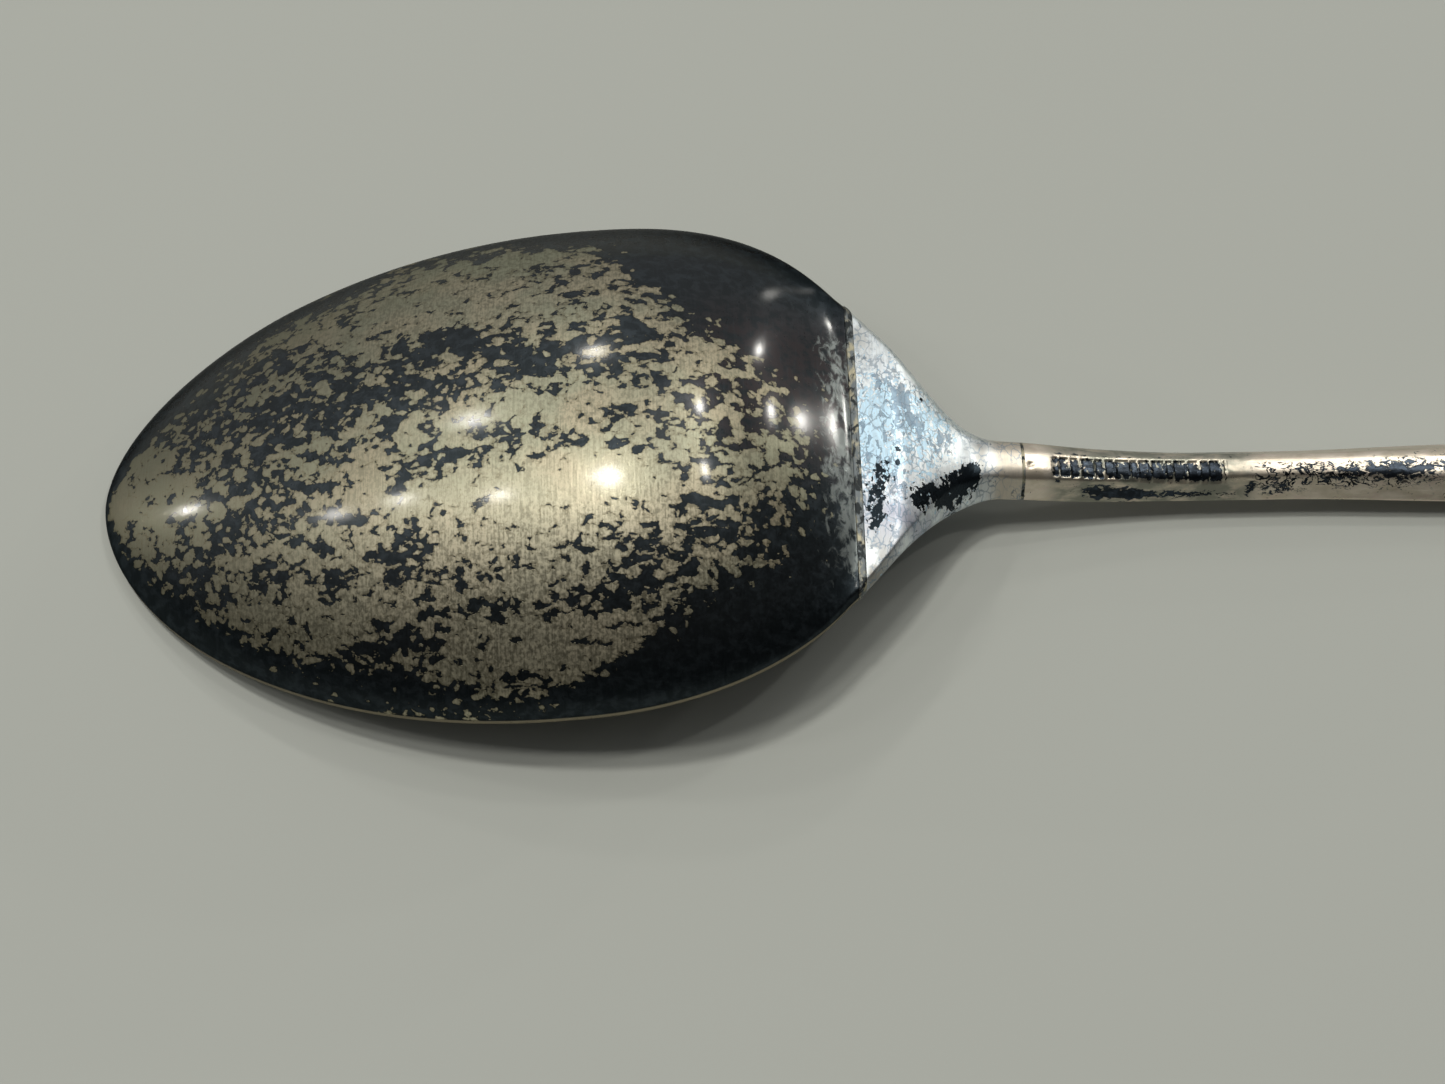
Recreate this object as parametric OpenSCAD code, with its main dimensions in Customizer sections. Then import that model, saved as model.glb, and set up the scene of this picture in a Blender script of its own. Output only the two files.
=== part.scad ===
// Souvenir spoon lying face down: the back of the bowl and of the handle is up, +Z.
// The bowl tip points along -X and the handle end along +X. The spoon rests on the
// bowl tip and on the flat rim of the badge under the handle end, both at Z = 0.
// Every struck piece is a skin swept along the spoon's length. A cross-section has a
// crowned back, an upright edge on each side and a hollow, flat or rounded front.

/* [Overall] */
// Length from the bowl tip to the handle end
spoon_length = 140; // [134:1:150]
// Number of facets across the back of each cross-section
across = 20; // [12:2:24]

/* [Bowl] */
// Length of the bowl from its tip to the foot of the dome
bowl_length = 45.4; // [43:0.1:47]
// Width of the bowl over its rim
bowl_width = 32; // [29:0.5:34]
// Height of the dome above the rim
bowl_depth = 7.6; // [7:0.1:8.5]
// Thickness of the sheet at the top of the dome
sheet = 1; // [0.9:0.05:1.1]
// Height of the upright rim edge
rim_height = 0.8; // [0.6:0.05:0.9]
// Width of the flat lip under the rim
lip_width = 0.8; // [0.6:0.05:1]

/* [Neck] */
// Length of the flared neck between the two solder joints
neck_length = 9.9; // [9:0.1:11]
// Width of the solder bead at the foot of the dome
bead_width = 0.5; // [0.4:0.05:0.6]
// How far the solder bead stands proud
bead_rise = 0.08; // [0.02:0.01:0.12]

/* [Handle] */
// Width of the handle at the solder joint
handle_root = 3.8; // [3.5:0.1:4.1]
// Width of the handle at its narrowest
handle_waist = 3.2; // [3:0.1:3.4]
// Width of the round end that carries the badge
plate_width = 18; // [17:0.5:20]
// Gap filled by the solder film between neck and handle
joint_film = 0.2; // [0.1:0.05:0.3]
// Depth of the hairline at that joint
joint_sink = 0.04; // [0:0.01:0.06]

/* [Badge] */
// Diameter of the badge
badge_diameter = 14; // [12:0.5:15]
// Thickness of the badge from its rim face to its back
badge_height = 1; // [0.8:0.1:1.2]
// Width of the raised rim around the enamel
badge_rim = 0.9; // [0.7:0.1:1.2]
// Depth of the cells that hold the enamel
cell_depth = 0.55; // [0.4:0.05:0.6]
// How far the enamel lies below the rim face
enamel_sink = 0.15; // [0.1:0.05:0.2]
// Thickness of the metal wall around the star
cell_wall = 0.3; // [0.2:0.05:0.4]
// Thickness of the solder film behind the badge
badge_film = 0.15; // [0.1:0.05:0.2]

/* [Hidden] */
$fn = 96;

// Distances from the tip, along the spoon
widest_at = 0.617 * bowl_length;
rear_reach = 1.19 * (bowl_length - widest_at);
flare_start = bowl_length - 0.5;
neck_start = bowl_length + bead_width;
neck_end = neck_start + neck_length;
handle_start = neck_end + joint_film;
flare_end = neck_end - 1.2;
plate_middle = spoon_length - 10;
handle_length = spoon_length - handle_start;
function on_handle(part) = handle_start + part * handle_length;

// How pointed the bowl's outline is at its tip, and how square behind its widest place
tip_power = 0.55;
rear_power = 2.5;

// How full the dome is towards its rim, and the depth and foot of its hollow side
fullness = 0.72;
hollow_depth = bowl_depth + rim_height - sheet;
hollow_foot = bowl_length - 0.8;

// Underside of the round end, which is the badge's seat
seat_height = badge_height + badge_film;

// Height of the lower edge above the table, at distances from the tip
edge_line = [
    [0, 0], [0.26 * bowl_length, 1.75], [0.66 * bowl_length, 4.75],
    [0.92 * bowl_length, 6.25], [neck_start + 1.6, 6.25], [neck_start + 7, 3.4],
    [handle_start, 2.95], [on_handle(0.06), 2.1], [on_handle(0.13), 1.7],
    [on_handle(0.25), 1.6], [on_handle(0.4), 1.3], [on_handle(0.6), 1.1],
    [spoon_length - 20, seat_height], [spoon_length, seat_height]];

// Height of the upright edge
edge_height = [
    [0, rim_height], [bowl_length - 2, rim_height], [neck_start + 4, 1],
    [handle_start, 0.7], [on_handle(0.25), 0.6], [on_handle(0.6), 0.8], [spoon_length, 0.9]];

// Crown of the back above the upright edge, from the foot of the dome on
back_crown = [
    [widest_at, 0], [bowl_length, 0.45], [neck_start + 4, 0.7], [handle_start, 1.2],
    [on_handle(0.25), 1.15], [on_handle(0.6), 0.8], [spoon_length - 18, 0.5],
    [spoon_length, 0.5]];

// Bulge of the front below the lower edge
front_bulge = [
    [neck_start, 0], [handle_start, 0.75], [on_handle(0.25), 0.75],
    [on_handle(0.6), 0.45], [spoon_length - 20, 0], [spoon_length, 0]];

// Half width of the handle up to the middle of its round end
handle_side = [
    [flare_end, handle_root / 2], [on_handle(0.13), handle_waist / 2],
    [on_handle(0.19), handle_waist / 2], [on_handle(0.3), 1.87], [on_handle(0.5), 2.35],
    [spoon_length - 25, 2.9], [spoon_length - 16, 7], [plate_middle, plate_width / 2]];

// Smooth curve through a list of [place, value] stations that never overshoots them
function step_slope(stations, i) =
    (stations[i + 1][1] - stations[i][1]) / (stations[i + 1][0] - stations[i][0]);
function knot_slope(stations, i) =
    i == 0 || i == len(stations) - 1 ? 0 :
    let (before = step_slope(stations, i - 1), after = step_slope(stations, i))
    before * after <= 0 ? 0 : 2 * before * after / (before + after);
function span_at(stations, s, i = 0) =
    i >= len(stations) - 2 || s <= stations[i + 1][0] ? i : span_at(stations, s, i + 1);
function along(stations, s) =
    let (i = span_at(stations, s), low = stations[i], high = stations[i + 1])
    let (gap = high[0] - low[0], u = min(max((s - low[0]) / gap, 0), 1))
    let (rise = u * u * (3 - 2 * u))
    low[1] + rise * (high[1] - low[1])
        + gap * u * (1 - u) * ((1 - u) * knot_slope(stations, i) - u * knot_slope(stations, i + 1));

// Half width of the bowl: a pointed oval ahead of the widest place, a blunt one behind it
function bowl_side(s, inset = 0) =
    s < widest_at
        ? (bowl_width / 2 - inset)
            * pow(max(1 - pow((widest_at - s) / (widest_at - inset), 2), 0), tip_power)
        : (bowl_width / 2 - inset)
            * sqrt(1 - pow((s - widest_at) / (rear_reach - inset), rear_power));

// Half width of the flare, which leaves the bowl's outline smoothly and ends in the handle
function flare_side(s) =
    let (left = (flare_end - s) / (flare_end - flare_start))
    handle_root / 2
        + (bowl_side(flare_start) - handle_root / 2) * left * left * (1.9 - 0.9 * left);
function plate_side(s) =
    plate_width / 2 * sqrt(max(1 - pow((s - plate_middle) / (spoon_length - plate_middle), 2.3), 0));
function half_width(s) =
    s < flare_start ? bowl_side(s) :
    s < flare_end ? flare_side(s) :
    s < plate_middle ? along(handle_side, s) : plate_side(s);

// Dome height along the middle, as a part of the whole: 1 at the widest place, 0 at the foot
function rear_fall(u) = pow(max(1 - 0.255 * u * u - 0.745 * pow(u, 2.7), 0), 1.2);
function dome(s, foot, inset = 0) =
    s < widest_at
        ? pow(bowl_side(s, inset) / (bowl_width / 2 - inset), 2 * fullness)
        : s < foot ? rear_fall((s - widest_at) / (foot - widest_at)) : 0;
function back_height(s) =
    s > plate_middle
        ? along(back_crown, s) * pow(half_width(s) / (plate_width / 2), 0.5)
        : bowl_depth * dome(s, bowl_length) + along(back_crown, s);
function front_height(s) =
    s < neck_start
        ? hollow_depth * dome(s, hollow_foot, lip_width)
        : -along(front_bulge, s);

// Cross-section curve: 1 in the middle, 0 at the edges, flatter on top along the handle
function crown(s, t) =
    let (blend = along([[bowl_length - 6, 0], [neck_end, 1]], s))
    pow(max(1 - pow(abs(t), 2 + 0.5 * blend), 0), fullness + 0.08 * blend);
function side_at(j) = sin(180 * j / across - 90);

// Half width of the front surface: inside the lip in the bowl, a little less than the back elsewhere
front_part = 0.97;
function front_side(s) =
    let (blend = along([[bowl_length - 3, 0], [bowl_length, 1]], s))
    (s < bowl_length ? bowl_side(s, lip_width) * (1 - blend) : 0)
        + front_part * half_width(s) * blend;

// One closed cross-section: left edge, back from left to right, right edge, front back again
function ring(s, front_s, grow = 0) =
    let (w = half_width(s) + grow, low = along(edge_line, s) - grow)
    let (high = low + along(edge_height, s) + 2 * grow)
    let (front_w = front_side(front_s), front_low = along(edge_line, front_s) - grow)
    concat(
        [[s, -w, low]],
        [for (j = [0 : across])
            [s, w * side_at(j), high + back_height(s) * crown(s, side_at(j))]],
        [[s, w, low]],
        [for (j = [across : -1 : 0])
            [front_s, front_w * side_at(j),
                front_low + front_height(front_s) * crown(front_s, side_at(j))]]);

// Skin through a list of rings. A ring at a pointed end shrinks to three points:
// one for the back, one for the edge and one for the front.
function shrunk(k) = k == 0 || k == across + 2 ? 0 : k < across + 2 ? 1 : across + 3;
function all_different(f) = f[0] != f[1] && f[1] != f[2] && f[2] != f[0];
module skin(rings, first_pointed = false, last_pointed = false) {
    count = 2 * across + 4;
    last = len(rings) - 1;
    points = [for (r = rings) each r];
    index = [for (i = [0 : last])
        let (pointed = i == 0 && first_pointed || i == last && last_pointed)
        [for (k = [0 : count]) i * count + (pointed ? shrunk(k % count) : k % count)]];
    wall = [for (i = [0 : last - 1], k = [0 : count - 1])
        let (a = index[i][k], b = index[i][k + 1], c = index[i + 1][k + 1], d = index[i + 1][k])
        each [[a, b, c], [a, c, d]]];
    cap = [for (j = [0 : across])
        let (a = j + 1, b = j + 2, c = count - 1 - j, d = (count - j) % count)
        each [[c, b, a], [d, c, a]]];
    last_cap = [for (f = cap) [for (k = [2 : -1 : 0]) f[k] + last * count]];
    caps = concat(first_pointed ? [] : cap, last_pointed ? [] : last_cap);
    translate([-spoon_length / 2, 0, 0])
        polyhedron(points, [for (f = concat(wall, caps)) if (all_different(f)) f], convexity = 6);
}

// Places of the rings. They crowd towards the tip, the foot of the dome and the handle end.
function front_place(s) = lip_width + s * (bowl_length - lip_width) / bowl_length;
function evenly(from, to, steps) = [for (i = [0 : steps]) from + (to - from) * i / steps];

module bowl() {
    tip_steps = 16;
    rear_steps = 14;
    places = concat(
        [for (i = [0 : tip_steps]) widest_at * (1 - cos(90 * i / tip_steps))],
        [for (i = [1 : rear_steps])
            widest_at + (bowl_length - widest_at) * sin(90 * i / rear_steps)]);
    color("darkkhaki")
        skin([for (s = places) ring(s, front_place(s))], first_pointed = true);
}

module bowl_solder() {
    middle = bowl_length + bead_width / 2;
    color("goldenrod")
        skin([ring(bowl_length, bowl_length), ring(middle, middle, bead_rise),
            ring(neck_start, neck_start)]);
}

module neck() {
    color("lightsteelblue")
        skin([for (s = evenly(neck_start, neck_end, 14)) ring(s, s)]);
}

module neck_solder() {
    color("dimgray")
        skin([for (s = [neck_end, handle_start]) ring(s, s, -joint_sink)]);
}

module handle() {
    stem_steps = 24;
    shoulder_steps = 14;
    end_steps = 10;
    places = concat(
        evenly(handle_start, spoon_length - 25, stem_steps),
        [for (i = [1 : shoulder_steps]) spoon_length - 25 + 15 * i / shoulder_steps],
        [for (i = [1 : end_steps]) plate_middle + 10 * sin(90 * i / end_steps)]);
    color("antiquewhite")
        skin([for (s = places) ring(s, s)], last_pointed = true);
}

// Everything on the badge stands on its own axis, with the rim face at Z = 0
module at_badge() {
    translate([plate_middle - spoon_length / 2, 0, 0]) children();
}

// Star of four long and four short points
function star(long, short, inner) = [for (i = [0 : 15])
    let (reach = i % 2 == 1 ? inner : i % 4 == 0 ? long : short)
    reach * [cos(22.5 * i), sin(22.5 * i)]];
star_long = 0.74 * (badge_diameter / 2 - badge_rim);
star_short = 0.62 * star_long;
star_inner = 0.34 * star_long;

module badge_solder() {
    color("dimgray") at_badge() translate([0, 0, badge_height])
        cylinder(r = badge_diameter / 2 - 0.4, h = badge_film);
}

module badge() {
    outer = badge_diameter / 2;
    inner = outer - badge_rim;
    corner = 0.15;
    color("silver") at_badge() {
        rotate_extrude()
            polygon([[0, cell_depth], [inner, cell_depth], [inner, corner],
                [inner + corner, 0], [outer - corner, 0], [outer, corner],
                [outer, badge_height], [0, badge_height]]);
        translate([0, 0, enamel_sink / 2])
            linear_extrude(cell_depth - enamel_sink / 2 + 0.05)
                difference() {
                    polygon(star(star_long + 3 * cell_wall, star_short + 2 * cell_wall,
                        star_inner + cell_wall));
                    polygon(star(star_long, star_short, star_inner));
                }
    }
}

module enamel_field() {
    color("midnightblue") at_badge() translate([0, 0, enamel_sink])
        linear_extrude(cell_depth - enamel_sink)
            difference() {
                circle(r = badge_diameter / 2 - badge_rim);
                polygon(star(star_long + 3 * cell_wall, star_short + 2 * cell_wall,
                    star_inner + cell_wall));
            }
}

module enamel_star() {
    color("ivory") at_badge() translate([0, 0, enamel_sink])
        linear_extrude(cell_depth - enamel_sink)
            polygon(star(star_long, star_short, star_inner));
}

bowl();
bowl_solder();
neck();
neck_solder();
handle();
badge_solder();
badge();
enamel_field();
enamel_star();
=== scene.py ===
import math

import bpy
import numpy as np
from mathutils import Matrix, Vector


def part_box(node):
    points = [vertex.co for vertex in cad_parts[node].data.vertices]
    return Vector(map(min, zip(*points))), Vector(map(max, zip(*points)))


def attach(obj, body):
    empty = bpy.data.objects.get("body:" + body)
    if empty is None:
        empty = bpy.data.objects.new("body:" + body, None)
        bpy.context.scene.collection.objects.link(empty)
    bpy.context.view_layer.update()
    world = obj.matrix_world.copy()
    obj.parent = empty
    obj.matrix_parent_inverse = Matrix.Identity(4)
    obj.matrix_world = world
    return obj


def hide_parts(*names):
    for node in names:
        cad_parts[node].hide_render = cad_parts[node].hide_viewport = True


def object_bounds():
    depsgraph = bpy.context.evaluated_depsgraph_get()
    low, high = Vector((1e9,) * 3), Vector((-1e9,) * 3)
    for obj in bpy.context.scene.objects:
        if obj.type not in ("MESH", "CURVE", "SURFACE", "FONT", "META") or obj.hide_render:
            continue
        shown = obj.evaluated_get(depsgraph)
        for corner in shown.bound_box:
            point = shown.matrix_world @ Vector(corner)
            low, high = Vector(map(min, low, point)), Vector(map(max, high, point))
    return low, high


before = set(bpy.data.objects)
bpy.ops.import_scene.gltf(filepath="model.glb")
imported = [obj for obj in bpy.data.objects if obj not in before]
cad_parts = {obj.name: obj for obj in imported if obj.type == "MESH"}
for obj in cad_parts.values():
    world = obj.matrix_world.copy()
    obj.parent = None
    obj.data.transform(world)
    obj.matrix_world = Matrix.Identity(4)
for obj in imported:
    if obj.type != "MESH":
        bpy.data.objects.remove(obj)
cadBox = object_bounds()
print("frame loaded:", sorted(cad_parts))

# Sizes are in mm up to the moment a mesh is made. s is the distance from the bowl's tip along
# the spoon, y is across it, z is up, and t runs from -1 to 1 across any one cross-section.


def sizeOf(node):  # a CAD node's size along X, Y and Z
    low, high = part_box(node)
    return [1000 * (b - a) for a, b in zip(low, high)]


spoonLength = 1000 * (cadBox[1][0] - cadBox[0][0])
bowlLength, bowlWidth, _ = sizeOf("bowl")
beadWidth = sizeOf("bowl_solder")[0]
neckLength = sizeOf("neck")[0]
jointFilm = sizeOf("neck_solder")[0]
plateWidth = sizeOf("handle")[1]
badgeHeight = sizeOf("badge")[2]
badgeFilm = sizeOf("badge_solder")[2]

spoon = {
    "bowlDepth": 7.6,  # height of the dome above the rim
    "sheet": 1.0,  # thickness at the top of the dome
    "rimHeight": 0.8,
    "lipWidth": 0.8,
    "beadRise": 0.08,
    "root": 3.8,  # width of the handle at the solder joint
    "waist": 3.2,  # and at its narrowest
    "jointSink": 0.04,
    "tipPower": 0.55,  # how pointed the bowl is
    "rearPower": 2.5,  # how square it is behind its widest place
    "fullness": 0.72,
    "frontPart": 0.97,
    "outerRound": 0.3,  # rounding of the rim's outer and inner corners
    "innerRound": 0.18,
}

widest = 0.617 * bowlLength
rearReach = 1.19 * (bowlLength - widest)
flareStart = bowlLength - 0.5
neckStart = bowlLength + beadWidth
neckEnd = neckStart + neckLength
handleStart = neckEnd + jointFilm
flareEnd = neckEnd - 1.2
plateMiddle = spoonLength - 10
hollowDepth = spoon["bowlDepth"] + spoon["rimHeight"] - spoon["sheet"]
hollowFoot = bowlLength - 0.8
seatHeight = badgeHeight + badgeFilm


def onHandle(part):  # place that lies this part of the handle's length behind its start
    return handleStart + part * (spoonLength - handleStart)


# Heights along the spoon: [place, value] stations
edgeLine = [
    [0, 0], [0.26 * bowlLength, 1.75], [0.66 * bowlLength, 4.75], [0.92 * bowlLength, 6.25],
    [neckStart + 1.6, 6.25], [neckStart + 7, 3.4], [handleStart, 2.95], [onHandle(0.06), 2.1],
    [onHandle(0.13), 1.7], [onHandle(0.25), 1.6], [onHandle(0.4), 1.3], [onHandle(0.6), 1.1],
    [spoonLength - 20, seatHeight], [spoonLength, seatHeight]]
edgeHeight = [
    [0, spoon["rimHeight"]], [bowlLength - 2, spoon["rimHeight"]], [neckStart + 4, 1],
    [handleStart, 0.7], [onHandle(0.25), 0.6], [onHandle(0.6), 0.8], [spoonLength, 0.9]]
backCrown = [
    [widest, 0], [bowlLength, 0.45], [neckStart + 4, 0.7], [handleStart, 1.2],
    [onHandle(0.25), 1.15], [onHandle(0.6), 0.8], [spoonLength - 18, 0.5], [spoonLength, 0.5]]
frontBulge = [
    [neckStart, 0], [handleStart, 0.75], [onHandle(0.25), 0.75], [onHandle(0.6), 0.45],
    [spoonLength - 20, 0], [spoonLength, 0]]
handleSide = [
    [flareEnd, spoon["root"] / 2], [onHandle(0.13), spoon["waist"] / 2],
    [onHandle(0.19), spoon["waist"] / 2], [onHandle(0.3), 1.87], [onHandle(0.5), 2.35],
    [spoonLength - 25, 2.9], [spoonLength - 16, 7], [plateMiddle, plateWidth / 2]]
# The bevel beside the flat of the back: how far it drops at the side, and its slope
bevelDrop = [
    [bowlLength - 5, 0], [bowlLength, 0.3], [neckStart + 5, 0.45], [neckEnd, 0.45],
    [onHandle(0.3), 0.4], [spoonLength - 20, 0.25], [spoonLength, 0.25]]
bevelSlope = [
    [bowlLength - 5, 3], [bowlLength, 1], [neckStart + 5, 0.9], [neckEnd, 1.9],
    [onHandle(0.3), 1.5], [spoonLength - 20, 0.8], [spoonLength, 0.8]]


def along(stations, s):
    # smooth curve through the stations that never overshoots them: a cubic between each two, whose
    # slope at a station is the harmonic mean of the slopes beside it, or 0 at a peak or an end
    places, values = np.array(stations, float).T
    steps = np.diff(values) / np.diff(places)
    before, after = steps[:-1], steps[1:]
    slopes = np.zeros(len(places))
    same = before * after > 0
    slopes[1:-1] = np.where(same, 2 * before * after / np.where(same, before + after, 1), 0)
    i = np.clip(np.searchsorted(places, s) - 1, 0, len(places) - 2)
    gap = places[i + 1] - places[i]
    u = np.clip((s - places[i]) / gap, 0, 1)
    rise = u * u * (3 - 2 * u)
    bend = gap * u * (1 - u) * ((1 - u) * slopes[i] - u * slopes[i + 1])
    return values[i] + rise * (values[i + 1] - values[i]) + bend


def bowlSide(s, inset=0):
    # half width: (1 - ahead^2)^tipPower ahead of the widest place, (1 - behind^rearPower)^1/2 after it
    ahead = np.clip((widest - s) / (widest - inset), 0, 1)
    behind = np.clip((s - widest) / (rearReach - inset), 0, 1)
    tip = (1 - ahead ** 2) ** spoon["tipPower"]
    return (bowlWidth / 2 - inset) * tip * np.sqrt(1 - behind ** spoon["rearPower"])


def flareSide(s):
    # half width of the flare: a cubic in the distance that is left to its end
    left = (flareEnd - s) / (flareEnd - flareStart)
    wide = bowlSide(flareStart) - spoon["root"] / 2
    return spoon["root"] / 2 + wide * left * left * (1.9 - 0.9 * left)


def plateSide(s):
    # half width of the round end: (1 - beyond^2.3)^1/2
    beyond = np.clip((s - plateMiddle) / (spoonLength - plateMiddle), 0, 1)
    return plateWidth / 2 * np.sqrt(1 - beyond ** 2.3)


def halfWidth(s):
    # the bowl's, the flare's, the stem's and the round end's half width, each in its own stretch
    tests = [s < flareStart, s < flareEnd, s < plateMiddle]
    return np.select(tests, [bowlSide(s), flareSide(s), along(handleSide, s)], plateSide(s))


def dome(s, foot, inset=0):
    # height along the middle as a part of the whole: the width's power, then a fall to the foot
    u = np.clip((s - widest) / (foot - widest), 0, 1)
    fall = np.maximum(1 - 0.255 * u ** 2 - 0.745 * u ** 2.7, 0) ** 1.2
    width = bowlSide(s, inset) / (bowlWidth / 2 - inset)
    return np.where(s < widest, width ** (2 * spoon["fullness"]), fall)


def backHeight(s):
    # rise of the back's middle: dome plus crown, and on the round end the crown alone, which
    # falls with the root of the width
    plate = along(backCrown, s) * np.sqrt(halfWidth(s) / (plateWidth / 2))
    struck = spoon["bowlDepth"] * dome(s, bowlLength) + along(backCrown, s)
    return np.where(s > plateMiddle, plate, struck)


def frontHeight(s):
    # rise of the front's middle: the bowl's hollow, or minus the bulge under neck and handle
    hollow = hollowDepth * dome(s, hollowFoot, spoon["lipWidth"])
    return np.where(s < neckStart, hollow, -along(frontBulge, s))


def crown(s, t):
    # (1 - |t|^a)^b, flatter on top along the handle
    blend = along([[bowlLength - 6, 0], [neckEnd, 1]], s)
    return (1 - np.abs(t) ** (2 + 0.5 * blend)) ** (spoon["fullness"] + 0.08 * blend)


def frontSide(s):
    # half width of the front surface: inside the lip in the bowl, a little under the back's elsewhere
    blend = along([[bowlLength - 3, 0], [bowlLength, 1]], s)
    lip = np.where(s < bowlLength, bowlSide(s, spoon["lipWidth"]) * (1 - blend), 0)
    return lip + spoon["frontPart"] * halfWidth(s) * blend


def softLower(a, b, soft):
    # the lower of two heights, with the ridge between them rounded over about soft
    gap = np.clip((a - b) / soft, -50, 50)
    return a - soft * np.log1p(np.exp(gap))


def point(x, y, z):  # x, y and z side by side in a last axis
    return np.stack(np.broadcast_arrays(x, y, z), -1)


def skinRings(s, frontS, across, grow=0, relief=None):
    # one closed ring of points for each place in s: lip to edge on the left, the back, the edge to
    # the lip on the right, and the front back again; both halves have the same number of points
    s, frontS = s[:, None], frontS[:, None]
    grow = np.reshape(grow, (-1, 1))
    t = np.sin(np.linspace(-math.pi / 2, math.pi / 2, across))[None]
    side, low = halfWidth(s) + grow, along(edgeLine, s) - grow
    high = low + along(edgeHeight, s) + 2 * grow
    frontW, frontLow = frontSide(frontS), along(edgeLine, frontS) - grow

    # back: the crowned surface, cut by the bevel's plane on the neck and the handle
    struck = high + backHeight(s) * crown(s, t)
    bevelled = softLower(struck, high - along(bevelDrop, s)
                         + along(bevelSlope, s) * side * (1 - np.abs(t)), 0.04)
    part = along([[bowlLength - 5, 0], [bowlLength, 1]], s)
    backZ = struck + part * (bevelled - struck)
    if relief:
        backZ = backZ - relief(s, side * t)
    back = point(s, side * t, backZ)

    # right edge: two quarter circles, where the lip meets the edge and where it meets the front
    outer, inner = point(s, side, low), point(frontS, frontW, frontLow)
    lip = inner - outer
    width = np.linalg.norm(lip, axis=-1, keepdims=True)
    lip = lip / np.maximum(width, 1e-9)
    up = np.array([0, 0, 1.0])
    outerR = np.minimum(spoon["outerRound"], 0.6 * width)
    hollow = 1 - along([[bowlLength - 5, 0], [bowlLength - 2, 1]], frontS)
    innerR = np.minimum(spoon["innerRound"], 0.25 * width) * hollow[..., None]
    turn = np.linspace(0, math.pi / 2, 6)[None, :, None]
    outerArc = outer + outerR * ((1 - np.sin(turn)) * lip + (1 - np.cos(turn)) * up)
    rise = np.array([1 / 3, 2 / 3])[None]
    foot = backZ[:, -1:]
    edge = point(s, side, (low + outerR[..., 0]) * (1 - rise) + foot * rise)
    rightOuter = np.concatenate([outerArc, edge], 1)
    turn = np.linspace(0, math.pi / 2, 8)[None, :, None]
    rightInner = inner + innerR * ((np.sin(turn) - 1) * lip + (1 - np.cos(turn)) * up)

    lift = innerR[..., 0]
    height = frontHeight(frontS)
    depth = np.where(height > 0, np.maximum(height - lift, 0), height)
    front = point(frontS, frontW * -t, frontLow + lift + depth * crown(frontS, t))
    mirror = np.array([1, -1, 1.0])
    return np.concatenate([rightOuter * mirror, back, rightOuter[:, ::-1],
                           rightInner, front, rightInner[:, ::-1] * mirror], 1)


def surfaceMesh(name, points, triangles, values, finish):
    # points in the same place become one, triangles that lose a corner by it go
    flat = points.reshape(-1, 3)
    _, first, same = np.unique(np.round(flat, 5), axis=0, return_index=True, return_inverse=True)
    triangles = same.ravel()[triangles]
    a, b, c = triangles.T
    triangles = triangles[(a != b) & (b != c) & (c != a)]
    used, corners = np.unique(triangles, return_inverse=True)
    keep = first[used]
    place = (flat[keep] - [spoonLength / 2, 0, 0]) / 1000
    mesh = bpy.data.meshes.new(name)
    mesh.vertices.add(len(keep))
    mesh.vertices.foreach_set("co", place.astype(np.float32).ravel())
    mesh.loops.add(triangles.size)
    mesh.loops.foreach_set("vertex_index", corners.ravel().astype(np.int32))
    mesh.polygons.add(len(triangles))
    mesh.polygons.foreach_set("loop_start", np.arange(0, triangles.size, 3, dtype=np.int32))
    mesh.polygons.foreach_set("use_smooth", np.ones(len(triangles), bool))
    for key, value in values.items():
        layer = mesh.attributes.new(key, "FLOAT", "POINT")
        layer.data.foreach_set("value", value.ravel()[keep].astype(np.float32))
    mesh.update()
    mesh.set_sharp_from_angle(angle=math.radians(50))
    mesh.materials.append(finish)
    piece = bpy.data.objects.new(name, mesh)
    bpy.context.scene.collection.objects.link(piece)
    return piece


def skin(name, rings, openEnds, values, finish):
    # quads between neighbouring rings, and a ladder between back and front over each open end
    n, m = rings.shape[:2]
    index = np.arange(n * m).reshape(n, m)
    beside = np.roll(index, -1, axis=1)
    quads = np.stack([index[:-1], index[1:], beside[1:], beside[:-1]], -1).reshape(-1, 4)
    k = np.arange(m // 2 - 1)
    ladder = np.stack([k, k + 1, m - 2 - k, m - 1 - k], -1)
    if openEnds[0]:
        quads = np.vstack([quads, ladder])
    if openEnds[1]:
        quads = np.vstack([quads, ladder[:, ::-1] + (n - 1) * m])
    triangles = np.concatenate([quads[:, [0, 1, 2]], quads[:, [0, 2, 3]]])
    return surfaceMesh(name, rings, triangles, values, finish)


def carry(piece, nodes):  # every piece rides on the one body
    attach(piece, "root")
    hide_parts(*nodes)
    print("made", piece.name, len(piece.data.polygons), "triangles")


class Wire:  # a socket of a shader tree; an operator on it adds a Math node
    def __init__(self, finish, socket):
        self.finish = finish
        self.socket = socket

    def maths(self, operation, *values):
        return self.finish.add("ShaderNodeMath", {"operation": operation}, dict(enumerate(values)))

    def __add__(self, other):
        return self.maths("ADD", self, other)

    def __radd__(self, other):
        return self.maths("ADD", other, self)

    def __sub__(self, other):
        return self.maths("SUBTRACT", self, other)

    def __rsub__(self, other):
        return self.maths("SUBTRACT", other, self)

    def __mul__(self, other):
        return self.maths("MULTIPLY", self, other)

    def __rmul__(self, other):
        return self.maths("MULTIPLY", other, self)

    def __abs__(self):
        return self.maths("ABSOLUTE", self)

    def over(self, low, high):  # 0 below low, 1 above high, smooth between; high may be the lower
        return self.finish.add("ShaderNodeMapRange", {"interpolation_type": "SMOOTHSTEP"},
                               {"Value": self, "From Min": low, "From Max": high})

    def larger(self, other):
        return self.maths("MAXIMUM", self, other)


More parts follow.
